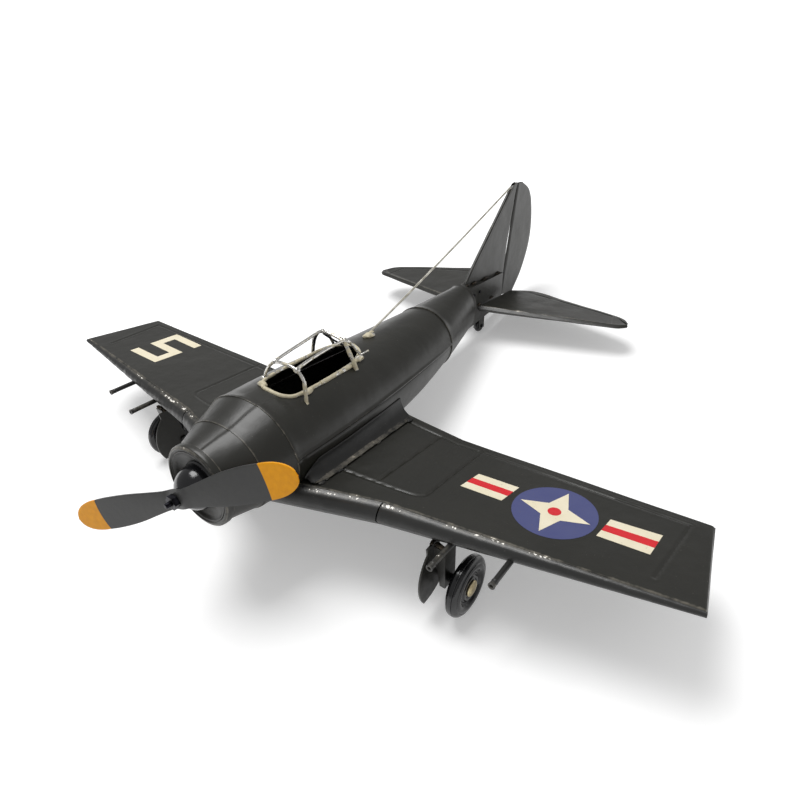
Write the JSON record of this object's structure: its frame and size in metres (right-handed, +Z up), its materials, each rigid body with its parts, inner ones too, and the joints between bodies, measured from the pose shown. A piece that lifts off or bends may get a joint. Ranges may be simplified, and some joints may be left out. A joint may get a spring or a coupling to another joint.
{
  "type": "propeller plane model",
  "caption": "Sheet-metal propeller fighter model with an open wire canopy, a turning propeller and rolling wheels, standing nose up on its tail wheel.",
  "frame": {"origin": "on the surface that the three wheels stand on, under the middle of the whole object", "axes": "+X forward along the floor, towards the propeller; +Y to the left (port) wing tip; +Z up from the surface. The body itself is pitched nose up by 11.54 degrees about Y"},
  "size_m": [0.3286, 0.36, 0.0828],
  "materials": {
    "black_paint": "satin, a little warm, worn along the edges",
    "propeller_paint": "satin grey with orange tips",
    "dome_paint": "gloss",
    "bright_wire": "satin, with cream paint",
    "dark_steel": "oiled",
    "wheel_black": "gloss",
    "rivet_brass": "dull",
    "gun_black": "satin, bare at the tips"
  },
  "bodies": {
    "airframe": {"antenna_foot": "bright_wire", "antenna_wire": "bright_wire", "belly_shell": "black_paint", "canopy_front_hoop": "bright_wire", "canopy_rails": "bright_wire", "canopy_rear_hoop": "bright_wire", "cockpit_rim": "bright_wire", "cowl_front_band": "black_paint", "cowl_rear_band": "black_paint", "fin": "black_paint", "gear_leg_left": "black_paint", "gear_leg_right": "black_paint", "gun_barrels_left": "gun_black", "gun_barrels_right": "gun_black", "main_axle_left": "rivet_brass", "main_axle_right": "rivet_brass", "nose_plate": "black_paint", "propeller_nut": "dark_steel", "propeller_screw": "dark_steel", "propeller_washer": "dark_steel", "rudder": "black_paint", "spinner_dome": "dome_paint", "stabiliser_left": "black_paint", "stabiliser_right": "black_paint", "tail_block": "black_paint", "tail_bulkhead": "black_paint", "tail_cone": "black_paint", "tail_rivets": "dark_steel", "tail_wheel_bracket": "black_paint", "tail_wheel_pin": "dark_steel", "upper_shell": "black_paint", "wheel_door_left": "black_paint", "wheel_door_right": "black_paint", "wing_edge_left": "black_paint", "wing_edge_right": "black_paint", "wing_fillet_left": "black_paint", "wing_fillet_right": "black_paint", "wing_root_edge_left": "black_paint", "wing_root_edge_right": "black_paint", "wing_root_top_left": "black_paint", "wing_root_top_right": "black_paint", "wing_root_underside_left": "black_paint", "wing_root_underside_right": "black_paint", "wing_top_left": "black_paint", "wing_top_right": "black_paint", "wing_underside_left": "black_paint", "wing_underside_right": "black_paint"},
    "propeller": {"propeller": "propeller_paint"},
    "left_wheel": {"main_wheel_left": "wheel_black"},
    "right_wheel": {"main_wheel_right": "wheel_black"},
    "rear_wheel": {"tail_wheel": "wheel_black"}
  },
  "joints": [
    {"name": "propeller_spin", "type": "hinge", "parent": "airframe", "child": "propeller", "pos_m": [0.1416, 0, 0.06023], "axis": [0.9798, 0, 0.2], "continuous": true},
    {"name": "left_wheel_spin", "type": "hinge", "parent": "airframe", "child": "left_wheel", "pos_m": [0.09216, 0.098, 0.0134], "axis": [0, 1, 0], "continuous": true},
    {"name": "right_wheel_spin", "type": "hinge", "parent": "airframe", "child": "right_wheel", "pos_m": [0.09216, -0.098, 0.0134], "axis": [0, 1, 0], "continuous": true},
    {"name": "tail_wheel_spin", "type": "hinge", "parent": "airframe", "child": "rear_wheel", "pos_m": [-0.08744, 0, 0.0043], "axis": [0, 1, 0], "continuous": true}
  ]
}
